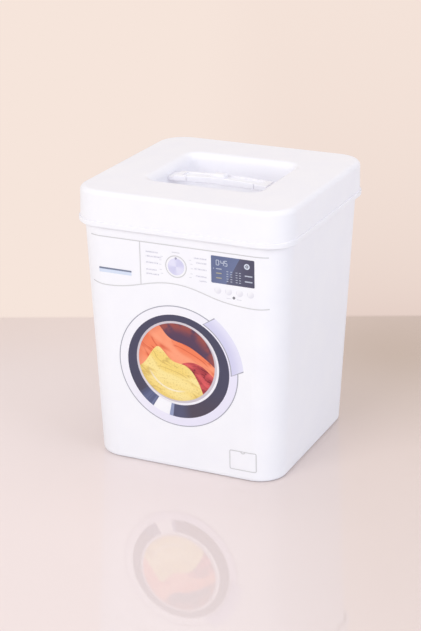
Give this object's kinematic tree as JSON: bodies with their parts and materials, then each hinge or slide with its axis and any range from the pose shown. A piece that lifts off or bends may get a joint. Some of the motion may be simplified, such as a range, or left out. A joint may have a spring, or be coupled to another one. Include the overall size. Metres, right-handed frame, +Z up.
{
  "type": "laundry powder box",
  "caption": "Square tapered plastic storage box for washing powder with a lift-off lid, a bar handle sunk in the lid and a printed washing-machine front.",
  "frame": {"origin": "centre of the base on the floor", "axes": "+Z up, the printed front faces -Y, +X to the right seen from the front"},
  "size_m": [0.1812, 0.1812, 0.224],
  "materials": {
    "white_plastic": "gloss",
    "ink_grey": "gloss print",
    "ink_pale": "gloss print",
    "ink_lilac": "gloss print",
    "ink_slate": "gloss print",
    "ink_blue": "gloss print",
    "ink_orange": "gloss print",
    "ink_yellow": "gloss print",
    "ink_red": "gloss print"
  },
  "bodies": {
    "tub": {"tub": "white_plastic", "print_grey": "ink_grey", "print_pale": "ink_pale", "print_lilac": "ink_lilac", "print_slate": "ink_slate", "print_blue": "ink_blue", "print_orange": "ink_orange", "print_yellow": "ink_yellow", "print_red": "ink_red"},
    "lid": {"lid": "white_plastic", "lid_handle": "white_plastic"}
  },
  "joints": [
    {"name": "lid_lift", "type": "slide", "parent": "tub", "child": "lid", "axis": [0, 0, 1], "range_m": [0, 0.15]}
  ]
}
